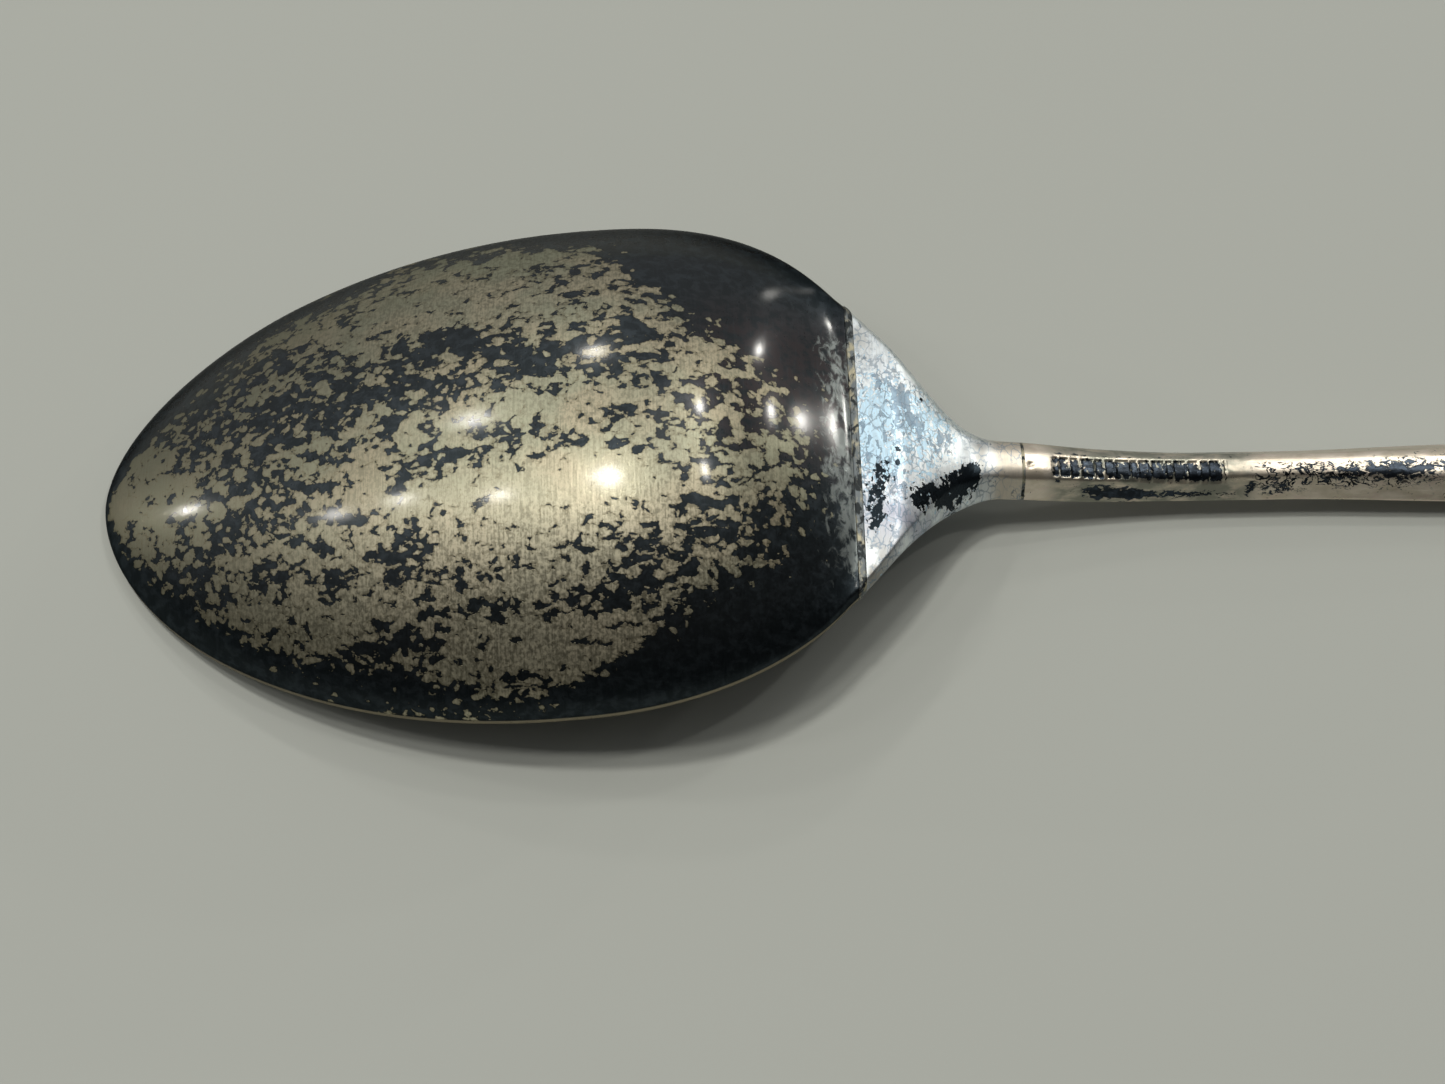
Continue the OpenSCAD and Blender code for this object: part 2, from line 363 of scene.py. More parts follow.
class Finish:  # one material: a Principled shader and the nodes that feed it
    def __init__(self, name, fixed):
        self.material = bpy.data.materials.new(name)
        self.material.use_nodes = True
        self.tree = self.material.node_tree
        self.tree.nodes.clear()
        self.shader = self.tree.nodes.new("ShaderNodeBsdfPrincipled")
        ending = self.tree.nodes.new("ShaderNodeOutputMaterial")
        self.tree.links.new(self.shader.outputs[0], ending.inputs[0])
        self.feed(fixed)
        inMetres = self.add("ShaderNodeTexCoord", {}, {}, "Object")
        self.place = self.add("ShaderNodeVectorMath", {"operation": "SCALE"},
                              {0: inMetres, "Scale": 1000})

    def add(self, kind, settings, inputs, output=0):
        node = self.tree.nodes.new(kind)
        for key, value in settings.items():
            setattr(node, key, value)
        for key, value in inputs.items():
            self.plug(node.inputs[key], value)
        return Wire(self, node.outputs[output])

    def plug(self, socket, value):
        if isinstance(value, Wire):
            self.tree.links.new(value.socket, socket)
        else:
            socket.default_value = value

    def feed(self, sockets):
        for key, value in sockets.items():
            self.plug(self.shader.inputs[key], value)

    def value(self, name):  # a vertex attribute
        return self.add("ShaderNodeAttribute", {"attribute_name": name}, {}, "Fac")

    def noise(self, size, detail=2, rough=0.5, bend=0, shift=0):
        # cloud of that size in mm along X, Y and Z, about 0.5 in the middle
        stretched = self.add("ShaderNodeVectorMath", {"operation": "MULTIPLY"},
                             {0: self.place, 1: [1 / a for a in size]})
        moved = self.add("ShaderNodeVectorMath", {"operation": "ADD"},
                         {0: stretched, 1: [shift, shift * 0.7, shift * 0.3]})
        return self.add("ShaderNodeTexNoise", {}, {
            "Vector": moved, "Scale": 1, "Detail": detail, "Roughness": rough, "Distortion": bend})

    def cells(self, size, bend):
        # distance from the borders of rounded cells of that size, whose borders wander by bend
        cloud = self.add("ShaderNodeTexNoise", {}, {"Vector": self.place, "Scale": 3, "Detail": 2}, 1)
        wander = self.add("ShaderNodeVectorMath", {"operation": "MULTIPLY_ADD"},
                          {0: cloud, 1: [2 * bend] * 3, 2: self.place})
        stretched = self.add("ShaderNodeVectorMath", {"operation": "MULTIPLY"},
                             {0: wander, 1: [1 / a for a in size]})
        return self.add("ShaderNodeTexVoronoi", {"feature": "DISTANCE_TO_EDGE"},
                        {"Vector": stretched, "Scale": 1})

    def mix(self, amount, first, second):  # colours
        return self.add("ShaderNodeMix", {"data_type": "RGBA"}, {
            0: amount, 6: first if isinstance(first, Wire) else (*first, 1),
            7: second if isinstance(second, Wire) else (*second, 1)}, 2)

    def bump(self, height, depth, under=None):  # depth in mm for a height of 1
        inputs = {"Height": height, "Distance": depth / 1000, "Strength": 1}
        if under:
            inputs["Normal"] = under
        return self.add("ShaderNodeBump", {}, inputs)


def spots(s, y, places):
    # sum of soft spots, each [place, across, half length, half width, strength]
    a, b, long, wide, strength = np.array(places, float).T
    square = ((s[..., None] - a) / long) ** 2 + ((y[..., None] - b) / wide) ** 2
    return (strength * np.exp(-square)).sum(-1)


def onEdge(rings):  # 1 on the edges and the lip, 0 on the back and the front
    edge = np.ones(rings.shape[:2])
    half, ends = rings.shape[1] // 2, 8
    edge[:, ends:half - ends] = 0
    edge[:, half + ends:-ends] = 0
    return edge


def ramp(value, low, high):  # 0 below low, 1 above high, 3u^2 - 2u^3 between
    u = np.clip((value - low) / (high - low), 0, 1)
    return u * u * (3 - 2 * u)


bowlLook = {
    "silver": (0.38, 0.36, 0.265),
    "silverWarm": (0.45, 0.39, 0.28),
    "silverGreen": (0.32, 0.335, 0.245),
    "silverWorn": (0.20, 0.19, 0.135),
    "stain": (0.17, 0.15, 0.095),
    "film": (0.018, 0.024, 0.028),
    "filmBlue": (0.036, 0.046, 0.054),
    "filmEdge": (0.010, 0.012, 0.013),
    "filmBrown": (0.034, 0.029, 0.031),
    # bloom at the foot: partly real tarnish bloom, partly a painted reflection of lamps in the crease
    "bloomAndSheen": (0.25, 0.28, 0.275),
    "lip": (0.42, 0.37, 0.27),
    # pale: painted light, the silver's colour where the bowl's lower side is painted lighter as if lit
    # from below that side
    "pale": (0.70, 0.64, 0.48),
    # colour the silver turns towards the tip: darker towards the tip
    "darkerAtTip": (0.16, 0.155, 0.11),
    "patch": (2.6, 1.2, 1.2),
    "fleck": (0.95, 0.70, 0.70),
    "cell": (0.85, 0.66, 0.66),
    "tipRings": 130, "rearRings": 96, "across": 145,
    # soft spots, as in spots(), where the flecks of tarnish lie closer or further apart
    "darker": [
        [5, 6, 3, 2.4, 0.09], [5.5, -6.5, 2.5, 1.4, 0.09], [6, -8.5, 3, 2, 0.08],
        [9, 2, 5, 2.4, 0.07], [10, 6, 5, 2.6, 0.09], [11, -3.5, 5, 3, 0.07], [15, 0.5, 5, 2, 0.05],
        [16, 3.6, 6, 1.6, 0.06], [16, 11, 3, 1.6, 0.04], [17, -7.5, 5, 1.8, 0.03],
        [19, -12.5, 3.5, 1.6, 0.11], [22, 2, 8, 1.8, 0.04], [22, 5.3, 3.0, 0.9, 0.14],
        [24, -2.6, 4.5, 0.6, 0.12], [25, -9, 10, 2.2, 0.03], [26, 14.4, 8, 1.2, 0.04],
        [28, 9, 2, 1.6, 0.06], [28.5, 3.4, 5, 1.4, 0.09], [31.5, -11, 3.5, 1.6, 0.11],
        [32.5, -1, 2.2, 1.8, 0.07], [33, 6, 3, 2.5, 0.06], [36, -8.5, 5, 3, 0.05],
        [37.5, -3, 2.5, 3, 0.06], [38, -6, 3, 2.4, 0.05], [39.5, 1, 2.6, 3.6, 0.03]],
    "brighter": [
        [2, 0, 3.5, 3, -0.06], [6.5, -6.5, 1.6, 1.2, -0.05], [10, 9.6, 2, 1.2, -0.03],
        [11, 4.5, 3, 2.2, -0.045], [13, 12.6, 2.5, 1.2, -0.12], [15.5, -10.8, 3, 1.4, -0.05],
        [20, 9.5, 8, 2.2, -0.04], [22, 12, 6, 1.6, -0.02], [24, -7, 2, 1.5, -0.06],
        [26, 7.8, 6, 1.6, -0.03], [27, 0.2, 8, 0.9, -0.05], [28, -8, 8, 2.5, -0.045],
        [30, -12.2, 7, 1.8, -0.07], [30, -4.4, 7, 1.8, -0.13], [30.5, 12.8, 2.2, 1.6, -0.13],
        [33, 10.5, 2.5, 1.8, -0.04], [40.8, 6, 1.4, 2.5, -0.05], [41, -4, 2.2, 3.4, -0.08],
        [41, -0.5, 1.6, 3.5, -0.05], [44, -0.5, 2.2, 6, -0.16]],
}


def bowlTarnish(rings):
    # how dark each place is: soft spots, a band along the rim, and a solid rear on both sides
    s, y = rings[..., 0], rings[..., 1]
    inside = bowlSide(s) - np.abs(y)
    flecks = spots(s, y, bowlLook["darker"] + bowlLook["brighter"])
    above = 42.4 - 1.25 * np.maximum(y - 3, 0)
    below = 42.8 - 1.7 * np.maximum(-y - 8.5, 0)
    solid = ramp(s - np.where(y > 0, above, below), -6.5, 2.5) ** 2
    upper = ramp(-inside, -3.5, -1.9) * (1 - 0.6 * ramp(s, 13, 19) + 0.6 * ramp(s, 27, 33))
    lower = ramp(-inside, -2.2, -0.4) * (1.1 - 0.6 * ramp(s, 8, 22) + 0.6 * ramp(s, 31, 38))
    rim = np.where(y > 0, upper, lower)
    return -0.060 + flecks + 0.36 * solid + 0.24 * rim


def bowlFinish():
    look = bowlLook
    f = Finish("bowlSilver", {"Metallic": 1.0, "Specular Tint": (0.35, 0.35, 0.35, 1),
                              "Coat Roughness": 0.12, "Coat IOR": 1.5})
    brush = f.noise((0.11, 1.6, 1.6), 3, 0.6, 0, 3)
    fineBrush = f.noise((0.05, 0.7, 0.7), 2, 0.5, 0, 11)
    patch = f.noise(look["patch"], 2, 0.5, 0.3, 1)
    fleck = f.noise(look["fleck"], 5, 0.57, 0.25, 7)
    grain = f.noise((0.20, 0.26, 0.26), 3, 0.65, 0.3, 17)
    border = f.cells(look["cell"], 0.18)
    ragged = 0.34 * patch + 0.66 * fleck + 0.34 * (0.16 - border) - 0.5
    depth = ragged + f.value("tarnish")
    dark = depth.over(-0.010, 0.012)
    # pale mottling at the foot: tarnish bloom and a painted reflection together
    bloomAndSheenNoise = f.noise((0.5, 0.9, 0.9), 4, 0.6, 0.5, 21)
    bloomAndSheen = 0.7 * (bloomAndSheenNoise - 0.5 + f.value("bloomAndSheen")).over(-0.06, 0.12)
    tone = f.noise((5, 4, 4), 4, 0.55, 0, 5)
    silver = f.mix(tone.over(0.38, 0.62), look["silverGreen"], look["silverWarm"])
    silver = f.mix(0.35, silver, look["silver"])
    # painted light: the silver turns paler on the bowl's lower side, fading out toward the rear
    silver = f.mix(f.value("pale"), silver, look["pale"])
    # the silver darker towards the tip
    silver = f.mix(f.value("darkerAtTip"), silver, look["darkerAtTip"])
    worn = 0.6 * grain + 0.4 * brush
    silver = f.mix(worn.over(0.58, 0.40) * 0.75, silver, look["silverWorn"])
    silver = f.mix(depth.over(-0.06, -0.01) * 0.55, silver, look["stain"])
    cloud = f.noise((0.7, 0.6, 0.6), 4, 0.6, 0.4, 9)
    smoke = f.mix(cloud.over(0.42, 0.66), look["film"], look["filmBlue"])
    smoke = f.mix(f.value("brown") * cloud.over(0.3, 0.6), smoke, look["filmBrown"])
    smoke = f.mix(depth.over(0.05, 0.0) * 0.6, smoke, look["filmEdge"])
    smoke = f.mix(brush.over(0.5, 0.75) * 0.4, smoke, look["filmBlue"])
    colour = f.mix(dark, silver, smoke)
    # lay the bloom and painted reflection over the film at the foot
    colour = f.mix(bloomAndSheen, colour, look["bloomAndSheen"])
    colour = f.mix(f.value("lip"), colour, look["lip"])
    rough = 0.41 + 0.10 * (tone - 0.5) + 0.50 * (grain - 0.5) - 0.05 * dark
    wave = f.noise((2.6, 2.0, 2.0), 2, 0.5, 0, 31)
    smooth = f.bump(fineBrush, 0.0014, f.bump(brush, 0.0020, f.bump(wave, 0.008)))
    normal = f.bump(grain * (1 - 0.75 * dark), 0.010, smooth)
    normal = f.bump(dark, -0.003, normal)
    f.feed({"Base Color": colour, "Roughness": rough, "Normal": normal,
            "Coat Weight": (0.38 + 0.24 * dark) * (1 - 0.85 * f.value("worn"))})
    return f.material


def makeBowl():
    tip = widest * (1 - np.cos(np.linspace(0, math.pi / 2, bowlLook["tipRings"])))
    rear = widest + (bowlLength - widest) * np.sin(np.linspace(0, math.pi / 2, bowlLook["rearRings"]))
    s = np.concatenate([tip, rear[1:]])
    frontS = spoon["lipWidth"] + s * (bowlLength - spoon["lipWidth"]) / bowlLength
    rings = skinRings(s, frontS, bowlLook["across"])
    place, y = rings[..., 0], rings[..., 1]
    values = {
        "tarnish": bowlTarnish(rings),
        "brown": ramp(place, 34, 38) * ramp(y, -5, 0) * ramp(-y, -10, -5),
        # where the bloom and painted reflection lie: the foot of the dome, about the middle
        "bloomAndSheen": -0.31 + 0.37 * ramp(place, 41.6, 45.2) * ramp(-np.abs(y + 0.5), -11, -6),
        "lip": onEdge(rings) * ramp(-y, -2, 2),
        # painted light on the bowl's lower side, fading out toward the rear of the bowl
        "pale": 0.65 * ramp(-y, 1.5, 8) * ramp(-place, -41, -34),
        # darker towards the tip, fading out by the middle of the bowl
        "darkerAtTip": 0.68 * ramp(-place, -27, -4),
        "worn": ramp(np.abs(y) - bowlSide(place), -3.5, -0.8),
    }
    carry(skin("bowl_skin", rings, (False, True), values, bowlFinish()), ["bowl"])


solderLook = {"pale": (0.40, 0.37, 0.27), "grey": (0.16, 0.18, 0.19), "dark": (0.035, 0.04, 0.042)}


def solderFinish(name, darkPart):
    f = Finish(name, {"Metallic": 1.0})
    lumps = f.noise((0.5, 1.2, 0.6), 4, 0.62, 0.4, 2)
    grime = f.noise((0.5, 0.9, 0.5), 4, 0.62, 0.6, 8)
    colour = f.mix(lumps.over(0.38, 0.56), solderLook["pale"], solderLook["grey"])
    colour = f.mix((grime + darkPart).over(0.46, 0.56), colour, solderLook["dark"])
    f.feed({"Base Color": colour, "Roughness": 0.36 + 0.2 * lumps, "Normal": f.bump(lumps, 0.03)})
    return f.material


def makeSolder():
    u = np.linspace(0, 1, 13)
    s = bowlLength + beadWidth * u
    grow = spoon["beadRise"] * np.sqrt(np.maximum(1 - (2 * u - 1) ** 2, 0))
    rings = skinRings(s, s, 121, grow)
    bead = skin("bowl_solder_bead", rings, (True, True), {}, solderFinish("solderBead", -0.02))
    carry(bead, ["bowl_solder"])
    u = np.linspace(0, 1, 5)
    s = neckEnd + jointFilm * u
    grow = -0.5 * spoon["jointSink"] * (1 + 0.5 * np.sin(math.pi * u))
    rings = skinRings(s, s, 61, grow)
    joint = skin("neck_solder_line", rings, (True, True), {}, solderFinish("solderLine", -0.04))
    carry(joint, ["neck_solder"])


neckLook = {
    "white": (0.90, 0.96, 0.99), "blue": (0.50, 0.76, 0.95), "lilac": (0.48, 0.50, 0.60),
    "cream": (0.66, 0.60, 0.51), "beige": (0.40, 0.39, 0.36), "steel": (0.20, 0.28, 0.37),
    "film": (0.022, 0.030, 0.038),
    "rings": 84, "across": 121,
    # soft spots of each tarnish colour, as in spots()
    "darkSpots": [
        [49.2, -3.6, 0.9, 1.0, 0.34], [50.8, -2.9, 1.0, 0.9, 0.36], [52.0, -1.8, 0.9, 0.9, 0.42],
        [52.8, -0.8, 0.6, 0.8, 0.38], [46.6, -4.2, 1.0, 1.6, 0.28], [47.0, -2.0, 0.9, 1.2, 0.24],
        [46.4, -5.3, 0.7, 0.5, 0.14], [48.1, -0.6, 0.22, 0.22, 0.4], [48.0, -1.5, 0.2, 0.2, 0.35],
        [49.8, 3.1, 0.2, 0.2, 0.4], [49.2, 0.6, 1.4, 3.0, 0.10]],
    "steelSpots": [
        [48.4, 2.7, 0.9, 1.4, 0.26], [49.3, 1.0, 0.8, 1.0, 0.22], [51.0, 0.5, 0.8, 0.8, 0.24],
        [46.9, 3.8, 0.8, 1.0, 0.14], [48.2, -2.2, 1.0, 2.0, 0.13], [46.6, -4.0, 1.6, 1.8, 0.15],
        [47.6, 0.2, 0.9, 1.4, 0.12], [46.3, 1.0, 0.5, 5.0, 0.08]],
    "blueSpots": [
        [47.4, 2.2, 1.5, 2.8, 0.26], [46.6, -0.6, 1.2, 2.6, 0.26], [50.2, 1.8, 1.8, 1.6, 0.22],
        [49.4, -1.2, 2.2, 2.4, 0.14], [53.5, 0, 1.2, 2, -0.1]],
    "lilacSpots": [[48.0, -4.6, 3.4, 2.6, 1.0], [47, 5.5, 1.2, 1.5, 0.3]],
    "beigeSpots": [
        [46.2, -8.5, 1.6, 2.6, 1.0], [46.0, 7, 1.0, 2.0, 0.7], [53.3, 0.2, 0.6, 1.6, 0.9]],
}


def neckFinish():
    look = neckLook
    f = Finish("neckSilver", {"Metallic": 1.0, "Specular Tint": (0.8, 0.8, 0.8, 1)})
    worm = f.noise((0.42, 0.50, 0.45), 2, 0.5, 1.6, 4)
    fleck = f.noise((0.45, 0.85, 0.7), 4, 0.6, 0.5, 13)
    jag = f.noise((0.30, 0.34, 0.3), 3, 0.55, 0.3, 29)
    brush = f.noise((0.10, 1.2, 1.0), 3, 0.6, 0, 17)
    tone = f.noise((1.6, 2.0, 1.6), 4, 0.55, 0.3, 23)
    dark = (0.5 * fleck + 0.5 * jag - 0.5 + f.value("tarnish")).over(-0.006, 0.014)
    steel = (fleck - 0.5 + f.value("steel")).over(-0.008, 0.012)
    blue = (worm - 0.5 + f.value("blue")).over(-0.015, 0.02)
    clean = f.mix(f.value("lilac") * tone.over(0.30, 0.60), look["white"], look["lilac"])
    clean = f.mix(f.value("beige") * tone.over(0.32, 0.55), clean, look["beige"])
    clean = f.mix(f.value("cream"), clean, look["cream"])
    clean = f.mix(blue * 0.75, clean, look["blue"])
    outline = f.cells((0.50, 0.72, 0.6), 0.22).over(0.10, 0.02)
    clean = f.mix(outline * tone.over(0.36, 0.54) * 0.7, clean, look["steel"])
    clean = f.mix(steel * 0.75, clean, look["steel"])
    clean = f.mix(abs(fleck - 0.5 + f.value("steel")).over(0.024, 0.008) * 0.45, clean, look["film"])
    clean = f.mix(abs(worm - 0.5 + f.value("blue")).over(0.030, 0.008) * 0.40, clean, look["steel"])
    clean = f.mix((brush + 0.4 * (jag - 0.5)).over(0.58, 0.40) * 0.16, clean, look["beige"])
    colour = f.mix(dark, clean, look["film"])
    rough = 0.40 + 0.14 * (tone - 0.5) + 0.2 * (jag - 0.5) - 0.12 * dark
    normal = f.bump(brush, 0.002)
    normal = f.bump(jag, 0.008, normal)
    normal = f.bump(dark, -0.004, normal)
    normal = f.bump(tone, 0.03, normal)
    f.feed({"Base Color": colour, "Roughness": rough, "Normal": normal})
    return f.material


def makeNeck():
    s = np.linspace(neckStart, neckEnd, neckLook["rings"])
    rings = skinRings(s, s, neckLook["across"])
    place, y = rings[..., 0], rings[..., 1]
    values = {
        "tarnish": -0.24 + spots(place, y, neckLook["darkSpots"]),
        "steel": -0.18 + spots(place, y, neckLook["steelSpots"]),
        "blue": -0.18 + spots(place, y, neckLook["blueSpots"]),
        "lilac": spots(place, y, neckLook["lilacSpots"]),
        "beige": spots(place, y, neckLook["beigeSpots"]),
        "cream": ramp(place, 53.4, 54.6),
    }
    carry(skin("neck_skin", rings, (True, True), values, neckFinish()), ["neck"])


stripLook = {  # plain sunken strip with short, evenly spaced punch bars
    "start": 57.7, "end": 68.4, "low": -0.95, "high": 0.22, "depth": 0.10, "soft": 0.10,
    "pitch": 0.72, "bar": 0.12,
}
handleLook = {
    "cream": (0.84, 0.75, 0.64), "beige": (0.70, 0.62, 0.50), "pink": (0.76, 0.61, 0.54),
    "olive": (0.30, 0.30, 0.25), "film": (0.022, 0.027, 0.034), "filmBlue": (0.07, 0.09, 0.12),
    "across": 81,
    # soft spots of tarnish on the back, as in spots()
    "darkSpots": [
        [60.6, -1.45, 1.3, 0.26, 0.44], [62.6, -1.45, 1.2, 0.24, 0.40], [66.5, -1.4, 3.5, 0.18, 0.34],
        [64, 1.25, 6.5, 0.12, 0.37], [71.8, -1.2, 1.3, 0.25, 0.26], [70.0, -1.1, 0.4, 0.35, 0.30],
        [69.9, 0.9, 0.4, 0.3, 0.30], [75, -0.6, 1.6, 0.5, 0.20], [79.0, -0.5, 3.2, 0.7, 0.32],
        [58.0, -1.1, 0.5, 0.25, 0.25], [59.2, 0.5, 1.8, 0.12, 0.22], [64, 0.45, 4.5, 0.08, 0.20],
        [90, 0, 12, 1.4, 0.19], [110, 0, 14, 2.5, 0.1], [120, -2.5, 5, 2, 0.17],
        [126, 5, 5, 2.5, 0.19], [136, -4, 3.5, 3, 0.20], [137, 4, 2, 2, 0.16]],
}


def stripPart(s, y, soft):  # 1 in the strip, 0 outside it
    ends = ramp(s, stripLook["start"] - soft, stripLook["start"] + soft) * ramp(
        -s, -stripLook["end"] - soft, -stripLook["end"] + soft)
    sides = ramp(y, stripLook["low"] - soft, stripLook["low"] + soft) * ramp(
        -y, -stripLook["high"] - soft, -stripLook["high"] + soft)
    return ends * sides


def barPart(s, y):  # 1 on a punch bar: a narrow, slightly slanted ridge across the strip
    uneven = 0.10 * np.sin(2.9 * s) + 0.07 * np.sin(5.3 * s + 1) + 0.05 * y
    phase = ((s + uneven - stripLook["start"]) / stripLook["pitch"]) % 1
    away = np.abs(phase - 0.5) * stripLook["pitch"]
    return 1 - ramp(away, stripLook["bar"] / 2 - 0.04, stripLook["bar"] / 2 + 0.05)


def stampRelief(s, y):
    # sunken strip less its bars, and one shallow round pit beside the joint
    strip = stripLook["depth"] * stripPart(s, y, stripLook["soft"]) * (1 - 0.8 * barPart(s, y))
    pit = 0.08 * np.exp(-((s - 56.35) ** 2 + (y + 0.35) ** 2) / 0.16 ** 2)
    return strip + pit


def handleFinish():
    look = handleLook
    f = Finish("handleSilver", {"Metallic": 1.0, "Specular Tint": (0.8, 0.8, 0.8, 1)})
    fleck = f.noise((0.50, 0.30, 0.30), 4, 0.62, 0.5, 6)
    vein = f.noise((1.1, 0.60, 0.60), 4, 0.6, 0.9, 14)
    tone = f.noise((1.6, 0.8, 0.8), 4, 0.6, 0.2, 19)
    brush = f.noise((1.6, 0.06, 0.06), 3, 0.6, 0, 27)
    lobes = f.noise((0.34, 0.42, 0.42), 3, 0.55, 0.3, 41)
    row = (fleck - 0.5 + f.value("tarnish")).over(-0.006, 0.02)
    veins = (f.value("veins") - abs(vein - 0.5)).over(0.0, 0.010)
    strip = (f.value("strip") + 2.6 * (lobes - 0.5)).over(0.54, 0.66)
    dark = row.larger(veins).larger(strip)
    clean = f.mix(tone.over(0.38, 0.62), look["beige"], look["cream"])
    clean = f.mix(f.noise((1.0, 0.5, 0.5), 3, 0.5, 0, 33).over(0.5, 0.7) * 0.5, clean, look["pink"])
    clean = f.mix((fleck - 0.5 + f.value("tarnish")).over(-0.09, 0.0) * 0.5, clean, look["olive"])
    clean = f.mix(f.value("grey") * tone.over(0.3, 0.6), clean, look["olive"])
    film = f.mix(fleck.over(0.45, 0.62) * 0.5, look["film"], look["filmBlue"])
    colour = f.mix(dark, clean, film)
    rough = 0.32 + 0.16 * (tone - 0.5) + 0.2 * (fleck - 0.5) - 0.06 * dark
    normal = f.bump(brush, 0.0015)
    normal = f.bump(dark, -0.006, normal)
    normal = f.bump(tone, 0.025, normal)
    f.feed({"Base Color": colour, "Roughness": rough, "Normal": normal})
    return f.material


def makeHandle():
    s = np.concatenate([
        np.linspace(handleStart, 70, 236)[:-1], np.linspace(70, spoonLength - 25, 100)[:-1],
        np.linspace(spoonLength - 25, plateMiddle, 50)[:-1],
        plateMiddle + 10 * np.sin(np.linspace(0, math.pi / 2, 44))])
    beyond = np.clip((s - plateMiddle) / (spoonLength - plateMiddle), 0, 1)
    frontS = s - (1 - spoon["frontPart"]) * plateWidth / 2 * beyond ** 2
    rings = skinRings(s, frontS, handleLook["across"], 0, stampRelief)
    place, y = rings[..., 0], rings[..., 1]
    onBack = np.zeros(rings.shape[:2])
    onBack[:, :rings.shape[1] // 2] = 1
    veined = ramp(place, 69.5, 71) * ramp(-place, -86, -77)  # stretch of the stem with dark veins
    values = {
        "tarnish": -0.26 + onBack * spots(place, y, handleLook["darkSpots"]),
        "veins": 0.045 * onBack * veined * ramp(-np.abs(y + 0.6), -0.9, -0.4) - 0.002,
        "strip": onBack * stripPart(place, y, 0.24) * (1 - 0.42 * barPart(place, y)),
        "grey": onBack * ramp(place, 56.8, 58.5) * ramp(-place, -71, -69),
    }
    handle = skin("handle_skin", rings, (True, False), values, handleFinish())
    carry(handle, ["handle"])


badgeLook = {
    "silver": (0.74, 0.71, 0.64), "worn": (0.46, 0.44, 0.38),
    "blue": (0.012, 0.045, 0.20), "paleBlue": (0.02, 0.08, 0.30),
    "white": (0.80, 0.78, 0.70), "paleWhite": (0.88, 0.87, 0.82),
}


def enamelFinish(name, colour, pale):
    f = Finish(name, {"Roughness": 0.12, "Coat Weight": 0.6, "Coat Roughness": 0.04})
    cloud = f.noise((1.6, 1.6, 1.6), 3, 0.5, 0, 3)
    specks = f.noise((0.18, 0.18, 0.18), 2, 0.5, 0, 12)
    glass = f.mix(cloud.over(0.3, 0.7), colour, pale)
    f.feed({"Base Color": f.mix(specks.over(0.66, 0.72) * 0.4, glass, pale),
            "Normal": f.bump(cloud, 0.02)})
    return f.material


def badgeFinish():
    f = Finish("badgeSilver", {"Metallic": 1.0})
    wear = f.noise((1.2, 1.2, 0.6), 5, 0.6, 0.2, 5)
    brush = f.noise((0.5, 0.07, 0.2), 3, 0.6, 0, 15)
    colour = f.mix(wear.over(0.42, 0.62), badgeLook["silver"], badgeLook["worn"])
    f.feed({"Base Color": colour, "Roughness": 0.22 + 0.2 * wear, "Normal": f.bump(brush, 0.002)})
    return f.material


def dressBadge():  # the badge keeps its CAD shapes
    look = badgeLook
    finishes = {
        "badge": badgeFinish(),
        "badge_solder": solderFinish("badgeSolder", 0.1),
        "enamel_field": enamelFinish("blueEnamel", look["blue"], look["paleBlue"]),
        "enamel_star": enamelFinish("whiteEnamel", look["white"], look["paleWhite"])}
    for node, finish in finishes.items():
        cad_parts[node].material_slots[0].material = finish
    print("badge dressed")


studio = {
    "floor": (0.335, 0.350, 0.330),
    "floorReach": 1.5,  # m from the middle to an edge
    "skyAxis": (110, 35),  # azimuth and elevation of the middle of the bright part of the sky
    "skyReach": (0.0, 0.85),  # cosine of the angle from that axis where the sky is dim, and bright
    "skyBright": (0.40, 0.405, 0.40),
    "skyDim": (0.085, 0.083, 0.078),
    "middle": (-0.032, 0.0, 0.006),  # what the lamps point at
    "lampColour": (1.0, 0.97, 0.90),
    "lens": 54.8,
    "sensor": 36,
    "cameraPlace": (-0.0343, -0.0580, 0.1233),
    "cameraTurn": (24.086, -0.31, -1.469),
    # azimuth, elevation, radius in degrees, watts
    "floorLamp": (126, 74, 2.4, 3.35),
    "lamps": [
        [158, 80, 3.0, 1.75], [165, 16, 1.0, 0.34], [175, 41, 1.2, 0.24], [173, 49, 1.2, 0.36],
        [139, 49, 2.2, 0.66], [177, 62, 1.3, 0.46], [104, 43, 1.6, 0.50], [47, 52, 1.5, 0.74],
        [18, 61, 1.3, 0.74], [44, 18, 1.0, 0.34], [30, 20, 1.1, 0.44], [28, 10, 0.8, 0.26],
        [56, 6, 1.6, 0.05], [50, 64, 14, 0.62]],
}


def direction(azimuth, elevation):  # unit vector
    a, e = math.radians(azimuth), math.radians(elevation)
    return np.array([math.cos(a) * math.cos(e), math.sin(a) * math.cos(e), math.sin(e)])


def makeLamp(number, azimuth, elevation, radius, watts, distance=1.0):
    light = bpy.data.lights.new(f"lamp{number}", "AREA")
    light.shape = "DISK"
    light.size = 2 * distance * math.tan(math.radians(radius))
    light.energy = watts
    light.color = studio["lampColour"]
    lamp = bpy.data.objects.new(f"lamp{number}", light)
    away = direction(azimuth, elevation)
    lamp.location = np.array(studio["middle"]) + distance * away
    lamp.rotation_euler = (0, math.radians(90 - elevation), math.radians(azimuth))
    bpy.context.scene.collection.objects.link(lamp)
    return lamp


def makeFloorLamp(floor):  # lights only the floor, for a shadow as deep as under one lamp
    lamp = makeLamp("Floor", *studio["floorLamp"])
    lit = bpy.data.collections.new("floorLit")
    lit.objects.link(floor)
    lamp.light_linking.receiver_collection = lit


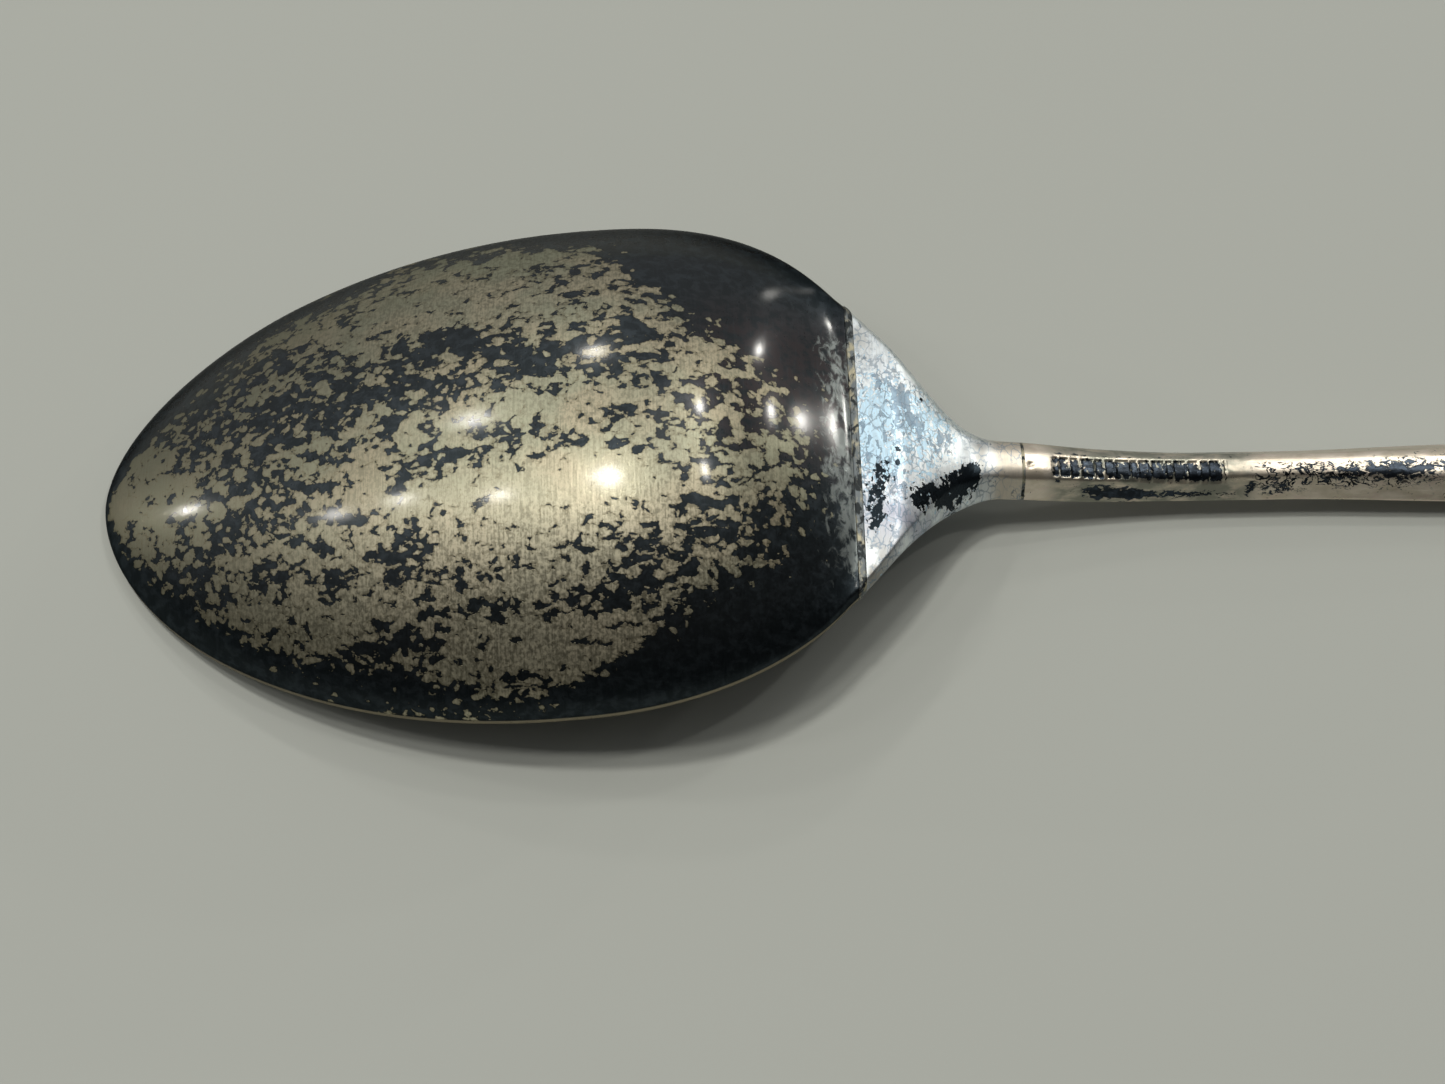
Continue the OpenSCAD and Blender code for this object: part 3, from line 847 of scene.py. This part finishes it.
def makeSky():
    # plain sky, bright round one direction and dim elsewhere
    world = bpy.data.worlds.new("studioSky")
    bpy.context.scene.world = world
    world.use_nodes = True
    nodes, links = world.node_tree.nodes, world.node_tree.links
    nodes.clear()
    place = nodes.new("ShaderNodeTexCoord")
    dot = nodes.new("ShaderNodeVectorMath")
    dot.operation = "DOT_PRODUCT"
    dot.inputs[1].default_value = direction(*studio["skyAxis"])
    links.new(place.outputs["Generated"], dot.inputs[0])
    part = nodes.new("ShaderNodeMapRange")
    part.interpolation_type = "SMOOTHSTEP"
    part.inputs["From Min"].default_value = studio["skyReach"][0]
    part.inputs["From Max"].default_value = studio["skyReach"][1]
    links.new(dot.outputs["Value"], part.inputs["Value"])
    colour = nodes.new("ShaderNodeMix")
    colour.data_type = "RGBA"
    colour.inputs[6].default_value = (*studio["skyDim"], 1)
    colour.inputs[7].default_value = (*studio["skyBright"], 1)
    links.new(part.outputs[0], colour.inputs[0])
    glow = nodes.new("ShaderNodeBackground")
    ending = nodes.new("ShaderNodeOutputWorld")
    links.new(colour.outputs[2], glow.inputs[0])
    links.new(glow.outputs[0], ending.inputs[0])


def makeFloor():
    mesh = bpy.data.meshes.new("floor")
    corner = studio["floorReach"]
    mesh.from_pydata([(-corner, -corner, 0), (corner, -corner, 0), (corner, corner, 0),
                      (-corner, corner, 0)], [], [(0, 1, 2, 3)])
    f = Finish("floorPaint", {"Base Color": (*studio["floor"], 1), "Roughness": 0.6,
                              "Specular IOR Level": 0.2})
    mesh.materials.append(f.material)
    floor = bpy.data.objects.new("floor", mesh)
    bpy.context.scene.collection.objects.link(floor)
    return floor


def makeCamera():
    camera = bpy.data.cameras.new("camera")
    camera.lens = studio["lens"]
    camera.sensor_width = studio["sensor"]
    camera.clip_start = 0.005
    place = bpy.data.objects.new("camera", camera)
    place.location = studio["cameraPlace"]
    place.rotation_euler = [math.radians(a) for a in studio["cameraTurn"]]
    bpy.context.scene.collection.objects.link(place)
    bpy.context.scene.camera = place


makeCamera()
makeBowl()
makeSolder()
makeNeck()
makeHandle()
dressBadge()
makeFloorLamp(makeFloor())
makeSky()
for number, lamp in enumerate(studio["lamps"]):
    makeLamp(number, *lamp)
bpy.context.scene.view_settings.view_transform = "Standard"
print("studio ready")
